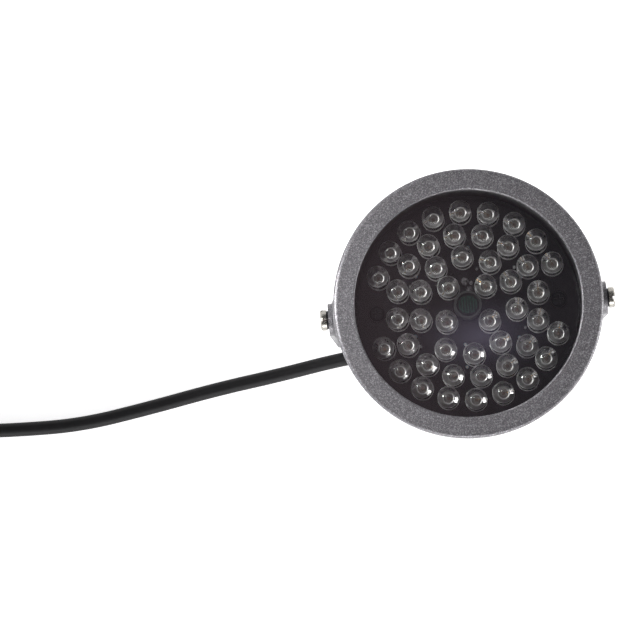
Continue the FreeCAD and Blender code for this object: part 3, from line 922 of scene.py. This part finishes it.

# The base of an LED, from its middle out: streaky, then by turns a pale ring and clear epoxy; the
# pale rings are painted highlights for the arcs of light reflected inside the lens. These are the
# radii in millimetres where one ends and the next begins.
BASE_RADII = (1.3, 1.42, 1.7, 1.8, 2.1, 2.2, 2.3)

# Half the thickness of the stamped strip that the lead frame and the leads are cut from
STRIP_HALF = 0.24 * MM


def led_places(settings, ring):
    """Each LED's place and its angle round the board."""
    radius, arcs = LED_RINGS[ring]
    closest = math.degrees(2 * math.asin((settings.radius / MM + LED_SIDE_GAP / 2) / radius))
    places = []
    for middle, arc in arcs:
        steps = math.floor(arc / closest)
        count = steps if arc == 360.0 else steps + 1
        for index in range(count):
            angle = math.radians(middle + arc / steps * (index - (count - 1) / 2))
            places.append((Vector((math.cos(angle), math.sin(angle), 0)) * radius * MM, angle))
    return places


def lens_shapes(settings):
    """The clear, the pale and the open-cured faces of a short foot, a barrel and a round dome.

    Pale are the rings in the base, the foot, the shoulder above it, and the seam under the dome:
    partly the epoxy's own frost at the mould's rims, partly painted highlights for the lens's
    bright rim and the arcs of light reflected inside it.
    """
    barrel = settings.radius
    shoulder, foot = barrel + 0.05 * MM, barrel + 0.1 * MM
    base, foot_top, shoulder_low = 0.05 * MM, 0.22 * MM, 0.26 * MM
    shoulder_high, barrel_low, barrel_clear = 1.0 * MM, 1.04 * MM, 1.4 * MM
    dome_low = settings.height - settings.radius
    seam = dome_low - 0.3 * MM
    radii = [radius * MM for radius in BASE_RADII]
    bands = [[(inner, base), (outer, base)] for inner, outer in zip(radii, radii[1:])]
    open_cured = [[(0.0, base), (radii[0], base)]]
    # The pale rings in the base are painted highlights for arcs of light reflected inside the lens
    frosted_and_painted_bands, clear = bands[0::2], bands[1::2]
    frosted_and_painted_bands.append([(radii[-1], base), (foot, base), (foot, foot_top), (shoulder, shoulder_low)])
    clear.append([(shoulder, shoulder_low), (shoulder, shoulder_high)])
    frosted_and_painted_bands.append([(shoulder, shoulder_high), (barrel, barrel_low), (barrel, barrel_clear)])
    clear.append([(barrel, barrel_clear), (barrel, seam)])
    dome = []
    for step in range(13):
        angle = math.pi / 2 * step / 13
        dome.append((barrel * math.cos(angle), dome_low + barrel * math.sin(angle)))
    # The pale seam under the dome is a painted highlight for the lens's bright rim
    frosted_and_painted_bands.append([(barrel, seam)] + dome[:3])
    clear.append(dome[2:] + [(0.0, settings.height)])
    return [[turned(profile, 40) for profile in group] for group in (clear, frosted_and_painted_bands, open_cured)]


def lead_frame_shapes(settings):
    """The cup and two stamped posts: the anvil carries it, and the bond wire runs to the flag."""
    rim = settings.height - settings.cup_depth
    cup = settings.cup_radius
    wall = cup + 0.12 * MM
    near = settings.lead_spacing / 2 - STRIP_HALF
    far = settings.lead_spacing / 2 + STRIP_HALF
    cup_profile = [
        (0.0, rim - 1.25 * MM),
        (cup * 0.75, rim - 1.25 * MM),
        (wall, rim - 0.7 * MM),
        (wall, rim - 0.03 * MM),
        (wall - 0.02 * MM, rim),
        (cup + 0.02 * MM, rim),
        (cup, rim - 0.03 * MM),
    ]
    anvil = [
        (-far, 0.0),
        (-near, 0.0),
        (-near, rim - 2.1 * MM),
        (0.35 * MM, rim - 1.2 * MM),
        (0.35 * MM, rim - 0.75 * MM),
        (-wall, rim - 0.75 * MM),
        (-near - 0.1 * MM, rim - 0.1 * MM),
        (-far, rim - 0.1 * MM),
    ]
    flag = [
        (near, 0.0),
        (far, 0.0),
        (far, rim + 0.02 * MM),
        (cup + 0.16 * MM, rim + 0.02 * MM),
        (cup + 0.16 * MM, rim - 0.5 * MM),
        (near, rim - 1.4 * MM),
    ]
    stand = Matrix.Rotation(math.radians(90), 4, "X")
    lie_along = Matrix.Rotation(math.radians(90), 4, "Z")
    plates = [prism(outline, -STRIP_HALF, STRIP_HALF) for outline in (anvil, flag)]
    return turned(cup_profile, 28), [moved(plate, lie_along @ stand) for plate in plates]


def lead_shapes(settings):
    """The two leads from the lens down through the board."""
    half, side = STRIP_HALF, settings.lead_spacing / 2
    low = BOARD_BOTTOM - BOARD_TOP - 1.5 * MM
    return [bar((-half, half), (end - half, end + half), (low, 0.3 * MM)) for end in (-side, side)]


def cup_floor_shape(settings):
    """The paste on the cup's floor, domed a little to the chip, and up its wall as painted shade.
    """
    rim = settings.height - settings.cup_depth
    floor = rim - 0.35 * MM
    reach = settings.cup_radius - 0.09 * MM
    profile = [(settings.cup_radius, rim - 0.03 * MM), (reach, floor)]
    profile += [(reach * 0.6, floor + 0.02 * MM), (0.0, floor + 0.03 * MM)]
    return turned(profile, 28)


def chip_shape(settings):
    """The square chip on the cup's floor."""
    half = 0.15 * MM
    floor = settings.height - settings.cup_depth - 0.33 * MM
    return bar((-half, half), (-half, half), (floor, floor + 0.14 * MM))


def bond_wire_shape(settings):
    """A fine wire from the chip up over the cup's rim to the flag."""
    rim = settings.height - settings.cup_depth
    start = Vector((0, 0, rim - 0.25 * MM))
    end = Vector((0, settings.cup_radius + 0.5 * MM, rim + 0.02 * MM))
    path = []
    for step in range(9):
        share = step / 8
        path.append(start.lerp(end, share) + Vector((0, 0, 0.42 * MM * math.sin(math.pi * share))))
    return tube(path, 0.015 * MM, 6)


def led_stance(settings, place, angle, chance):
    """An LED's place on the board, turned along its ring and leaning a little, about its middle."""
    lean = settings.lean * chance.uniform(0.8, 1.2)
    toward = math.radians(chance.uniform(115, 145))
    axis = Vector((-math.sin(toward), math.cos(toward), 0))
    turn = angle + math.radians(chance.uniform(-6, 6))
    middle = Vector((0, 0, settings.height / 2))
    return (
        Matrix.Translation(Vector((place.x, place.y, BOARD_TOP)) + middle)
        @ Matrix.Rotation(lean, 4, axis)
        @ Matrix.Rotation(turn, 4, "Z")
        @ Matrix.Translation(-middle)
    )


class ILLUMINATOR_OT_leds(bpy.types.Operator):
    """Builds the LEDs with their lenses, lead frames, chips and bond wires"""

    bl_idname = "illuminator.leds"
    bl_label = "LEDs"

    def execute(self, context):
        settings = context.scene.illuminator_leds
        silver = plain_finish("silver_plated_lead_frame")
        clear, frosted_and_painted_bands, open_cured = lens_shapes(settings)
        cup, plates = lead_frame_shapes(settings)
        lens_parts = [
            (clear, clear_epoxy()),
            # Pale bands: the epoxy's frost at the foot, and painted highlights elsewhere in the
            # lens
            (frosted_and_painted_bands, plain_finish("frosted_epoxy_edge")),
            (open_cured, plain_finish("open_cured_epoxy")),
        ]
        inner_parts = [
            ([cup], plain_finish("coined_silver_cup")),
            (plates, silver),
            # Paste on the cup's floor; on its wall the dark paste is painted shade
            ([cup_floor_shape(settings)], plain_finish("cured_silver_paste")),
            ([chip_shape(settings)], plain_finish("sawn_gallium_arsenide")),
            ([bond_wire_shape(settings)], plain_finish("drawn_gold_wire")),
        ]
        chance = random.Random(settings.seed)
        for ring in LED_RINGS:
            lenses, insides = [], []
            for place, angle in led_places(settings, ring):
                stance = led_stance(settings, place, angle, chance)
                for pieces, parts in ((lenses, lens_parts), (insides, inner_parts)):
                    for shapes, finish in parts:
                        pieces += [(moved(shape, stance), finish) for shape in shapes]
                upright = Matrix.Translation((place.x, place.y, BOARD_TOP))
                upright @= Matrix.Rotation(angle, 4, "Z")
                insides += [(moved(shape, upright), silver) for shape in lead_shapes(settings)]
            lens = make_piece(ring.replace("leds", "lenses"), lenses, "head", 40)
            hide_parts(ring)
            make_piece(ring.replace("leds", "lead_frames"), insides, "head", 30)
        return {"FINISHED"}


# Board

# The dabs of glue beside the sensor: x, y, radius and height in millimetres
GLUE_DABS = ((0.7, 3.9, 0.8, 0.75), (-0.1, 5.8, 0.95, 0.8), (1.2, 5.4, 0.45, 0.4))


def glue_dab_shape(radius, height):
    """A round dab that bulges up from the board."""
    profile = [(0.0, 0.0), (radius, 0.0)]
    for step in range(1, 7):
        angle = math.pi / 2 * step / 7
        profile.append((radius * math.cos(angle), height * math.sin(angle)))
    profile.append((0.0, height))
    return turned(profile, 20)


class ILLUMINATOR_OT_board(bpy.types.Operator):
    """Dresses the board, its screws and the clear glue beside the sensor"""

    bl_idname = "illuminator.board"
    bl_label = "Board"

    def execute(self, context):
        dress("led_board", plain_finish("black_solder_mask"))
        dress("board_screws", plain_finish("black_oxide_steel"))
        glue = plain_finish("set_hot_melt_glue")
        dabs = []
        for x, y, radius, height in GLUE_DABS:
            dab = glue_dab_shape(radius * MM, height * MM)
            place = Matrix.Translation((x * MM, y * MM, BOARD_TOP))
            dabs.append((moved(dab, place), glue))
        make_piece("glue_dabs", dabs, "head", 50)
        return {"FINISHED"}


# Light sensor


def track_shapes(radius, flat, top):
    """The winding track: runs along Y, joined by turns at the front and at the back."""
    pitch, half, runs = 0.62 * MM, 0.15 * MM, 7
    shapes, ends = [], []
    for run in range(runs):
        x = (run - (runs - 1) / 2) * pitch
        reach = min(math.sqrt((radius - 0.35 * MM) ** 2 - x * x), flat - 0.25 * MM)
        shapes.append(bar((x - half, x + half), (-reach, reach), (top, top + 0.04 * MM)))
        ends.append((x, reach))
    for index, ((x, reach), (next_x, next_reach)) in enumerate(zip(ends, ends[1:])):
        side = 1 if index % 2 else -1
        y = side * (min(reach, next_reach) - half)
        # The joins stand a hair higher, so that they share no plane with the runs
        heights = (top, top + 0.045 * MM)
        shapes.append(bar((x - half, next_x + half), (y - half, y + half), heights))
    return shapes


class ILLUMINATOR_OT_sensor(bpy.types.Operator):
    """Builds the light sensor with its winding track"""

    bl_idname = "illuminator.sensor"
    bl_label = "Light sensor"

    def execute(self, context):
        low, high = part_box("photocell")
        radius, flat = high.x, high.y
        top, bottom = high.z - 0.05 * MM, high.z - 2.0 * MM
        outline = []
        for step in range(64):
            angle = 2 * math.pi * step / 64
            y = min(max(radius * math.sin(angle), -flat), flat)
            outline.append((radius * math.cos(angle), y))
        parts = [(prism(outline, bottom, top), plain_finish("lacquered_dark_film"))]
        sulphide, tin = plain_finish("lacquered_cadmium_sulphide"), plain_finish("tinned_copper")
        parts += [(shape, sulphide) for shape in track_shapes(radius, flat, top)]
        for side in (-1, 1):
            lead = tube([Vector((side * 1.35 * MM, 0, z)) for z in (low.z, bottom)], 0.25 * MM, 12)
            parts.append((lead, tin))
        cell = make_piece("sensor_cell", parts, "head", 30)
        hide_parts("photocell")
        dress("photocell_sleeve", plain_finish("shrunk_black_sleeve"))
        return {"FINISHED"}


# Screws


class ILLUMINATOR_OT_fixings(bpy.types.Operator):
    """Plates the tilt screws and blackens their washers"""

    bl_idname = "illuminator.fixings"
    bl_label = "Tilt screws"

    def execute(self, context):
        dress("tilt_screws", plain_finish("dulled_nickel_plate"))
        dress("lock_washers", plain_finish("black_oxide_steel"))
        return {"FINISHED"}


# Parts under the board

# Colour bands of the resistors, from one end to the other
RESISTOR_BANDS = ("brown", "black", "brown", "gold")

# Where the upright parts stand: distance from the middle in millimetres, and angle in degrees
STRING_RESISTOR_PLACES = [(13.595, 25 + 60 * index) for index in range(6)]
BIAS_RESISTOR_PLACE = (8.525, 262)
DIODE_PLACE = (8.525, 55)


def hairpin_parts(place, radius, length, body, bands, tin):
    """A part that stands under the board with one lead bent back up beside it."""
    top = BOARD_BOTTOM - 1.2 * MM
    bottom = top - length
    waist = radius * 0.86
    cap_length, band_half = 1.9 * MM, 0.3 * MM
    # From either end inwards: the rounded end, the cap, and the slope down to the waist
    cap = [(0.0, 0.0), (radius * 0.6, 0.0), (radius, 0.4 * MM), (radius, 1.5 * MM)]
    cap.append((waist, cap_length))
    profile = [(around, bottom + inward) for around, inward in cap]
    profile += [(around, top - inward) for around, inward in reversed(cap)]
    parts = [(turned(profile, 28), body)]
    for index, paint in enumerate(bands):
        middle = top - cap_length / 2 - index * (length - cap_length) / max(len(bands) - 1, 1)
        under = radius if index in (0, len(bands) - 1) else waist
        inner, outer = under - 0.05 * MM, under + 0.012 * MM
        low, high = middle - band_half, middle + band_half
        band = [(inner, low), (outer, low), (outer, high), (inner, high)]
        parts.append((turned(band, 28), paint))
    lead_radius, lead_top = 0.25 * MM, BOARD_TOP - 0.2 * MM
    bend_low, bend_height, reach = bottom - 1.8 * MM, 1.0 * MM, 2.6 * MM
    straight = [Vector((0, 0, top)), Vector((0, 0, lead_top))]
    bent = [Vector((0, 0, bottom)), Vector((0, 0, bend_low + bend_height))]
    for step in range(1, 9):
        turn = math.pi * step / 8
        across = reach / 2 * (1 - math.cos(turn))
        bent.append(Vector((0, across, bend_low + bend_height * (1 - math.sin(turn)))))
    bent.append(Vector((0, reach, lead_top)))
    parts += [(tube(path, lead_radius, 12), tin) for path in (straight, bent)]
    distance, degrees = place
    stance = Matrix.Rotation(math.radians(degrees), 4, "Z")
    stance @= Matrix.Translation((distance * MM, 0, 0))
    return [(moved(shape, stance), material) for shape, material in parts]


class ILLUMINATOR_OT_under_board(bpy.types.Operator):
    """Builds the resistors and the diode, and dresses the transistor and the two cores"""

    bl_idname = "illuminator.under_board"
    bl_label = "Parts under the board"

    def execute(self, context):
        tin, nylon = plain_finish("tinned_copper"), plain_finish("moulded_black_nylon")
        coat = plain_finish("dipped_resistor_coat")
        bands = [plain_finish("printed_" + colour + "_enamel") for colour in RESISTOR_BANDS]
        resistor = (1.15 * MM, 6.3 * MM, coat, bands, tin)
        six = []
        for place in STRING_RESISTOR_PLACES:
            six += hairpin_parts(place, *resistor)
        one = hairpin_parts(BIAS_RESISTOR_PLACE, *resistor)
        band = [plain_finish("printed_silver_enamel")]
        diode = hairpin_parts(DIODE_PLACE, 1.35 * MM, 5.2 * MM, nylon, band, tin)
        for node, parts, slot in (
            ("string_resistors", six, "resistor_coat"),
            ("bias_resistor", one, "resistor_coat"),
            ("polarity_diode", diode, "black_plastic"),
        ):
            piece = make_piece(node + "_detailed", parts, "head", 30)
            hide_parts(node)
        dress("switch_transistor", nylon)
        dress("wire_positive", plain_finish("red_core_insulation"))
        dress("wire_negative", plain_finish("black_core_insulation"))
        return {"FINISHED"}


# Cord fittings


class ILLUMINATOR_OT_cord_fittings(bpy.types.Operator):
    """Dresses the cord's entry, its tie and the power socket"""

    bl_idname = "illuminator.cord_fittings"
    bl_label = "Cord fittings"

    def execute(self, context):
        nylon = plain_finish("moulded_black_nylon")
        dress("cable_tie", nylon)
        dress("dc_jack_body", nylon)
        dress("cord_entry", cord_sheath(context.scene.illuminator_cord))
        contact = plain_finish("nickel_plated_brass")
        for node in ("dc_jack_sleeve", "dc_jack_pin"):
            dress(node, contact)
        return {"FINISHED"}


# Panel


class VIEW3D_PT_illuminator(bpy.types.Panel):
    """Lists the steps that build the illuminator, and its settings"""

    bl_label = "Infrared Illuminator"
    bl_space_type = "VIEW_3D"
    bl_region_type = "UI"
    bl_category = "Illuminator"

    def draw(self, context):
        for step in STEPS:
            self.layout.operator(step.bl_idname)
        for name in SETTINGS:
            group = getattr(context.scene, name)
            box = self.layout.box()
            for field in group.bl_rna.properties:
                if not field.is_readonly and field.identifier != "name":
                    box.prop(group, field.identifier)


SETTINGS = {
    "illuminator_stage": StageSettings,
    "illuminator_coating": CoatingSettings,
    "illuminator_leds": LedSettings,
    "illuminator_cord": CordSettings,
}

STEPS = (
    ILLUMINATOR_OT_stage,
    ILLUMINATOR_OT_power_cord,
    ILLUMINATOR_OT_shell,
    ILLUMINATOR_OT_window,
    ILLUMINATOR_OT_leds,
    ILLUMINATOR_OT_board,
    ILLUMINATOR_OT_sensor,
    ILLUMINATOR_OT_fixings,
    ILLUMINATOR_OT_under_board,
    ILLUMINATOR_OT_cord_fittings,
)


def register():
    for name, group in SETTINGS.items():
        bpy.utils.register_class(group)
        setattr(bpy.types.Scene, name, PointerProperty(type=group))
    for step in STEPS:
        bpy.utils.register_class(step)
    bpy.utils.register_class(VIEW3D_PT_illuminator)


def unregister():
    bpy.utils.unregister_class(VIEW3D_PT_illuminator)
    for step in reversed(STEPS):
        bpy.utils.unregister_class(step)
    for name, group in SETTINGS.items():
        delattr(bpy.types.Scene, name)
        bpy.utils.unregister_class(group)


def main():
    register()
    bpy.ops.illuminator.stage()
    bpy.ops.illuminator.power_cord()
    bpy.ops.illuminator.shell()
    bpy.ops.illuminator.window()
    bpy.ops.illuminator.leds()
    bpy.ops.illuminator.board()
    bpy.ops.illuminator.sensor()
    bpy.ops.illuminator.fixings()
    bpy.ops.illuminator.under_board()
    bpy.ops.illuminator.cord_fittings()


if __name__ == "__main__":
    main()
